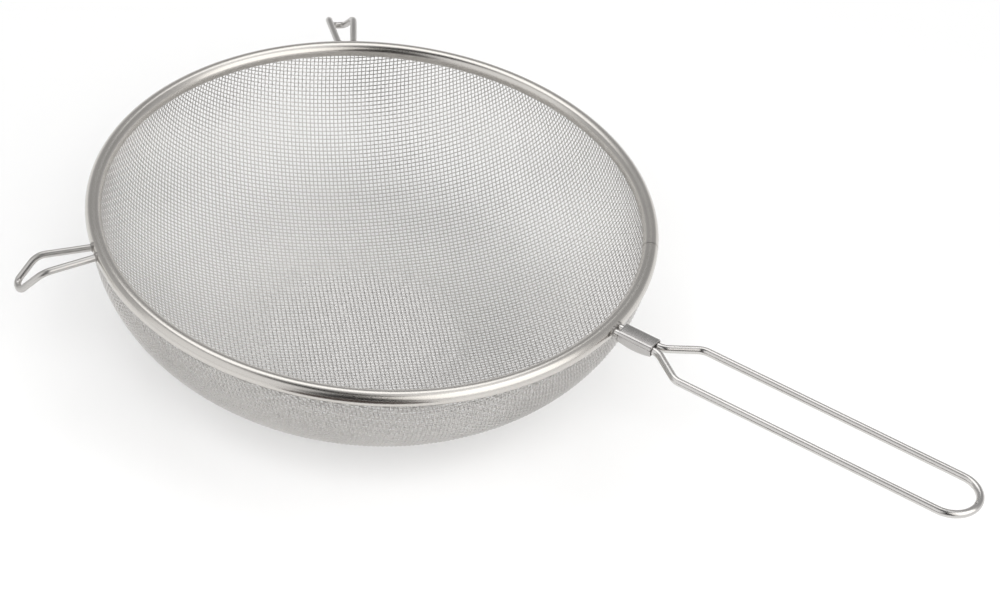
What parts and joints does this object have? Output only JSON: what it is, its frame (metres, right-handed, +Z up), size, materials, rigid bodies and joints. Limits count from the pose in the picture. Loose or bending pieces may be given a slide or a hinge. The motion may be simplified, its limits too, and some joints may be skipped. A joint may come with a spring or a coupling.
{
  "type": "wire mesh sieve",
  "caption": "Round stainless sieve: a woven wire bowl held in a rolled sheet rim, with a hairpin wire handle bound by a ferrule and wire ears that rest on a pot.",
  "frame": {"origin": "middle of the bowl's flat base, on the surface that it stands on", "axes": "+Z up along the bowl's axis, +X along the handle away from the bowl"},
  "size_m": [0.4385, 0.2634, 0.0756],
  "materials": {
    "rim_steel": "bright satin stainless sheet",
    "mesh_steel": "drawn stainless wire, woven",
    "wire_steel": "drawn stainless wire, lightly polished",
    "ferrule_steel": "satin stainless sheet"
  },
  "bodies": {
    "root": {"rim_band": "rim_steel", "rim_core": "wire_steel", "mesh_bowl": "mesh_steel", "handle_wire": "wire_steel", "handle_ferrule": "ferrule_steel", "ear_left": "wire_steel", "ear_right": "wire_steel"}
  },
  "joints": []
}
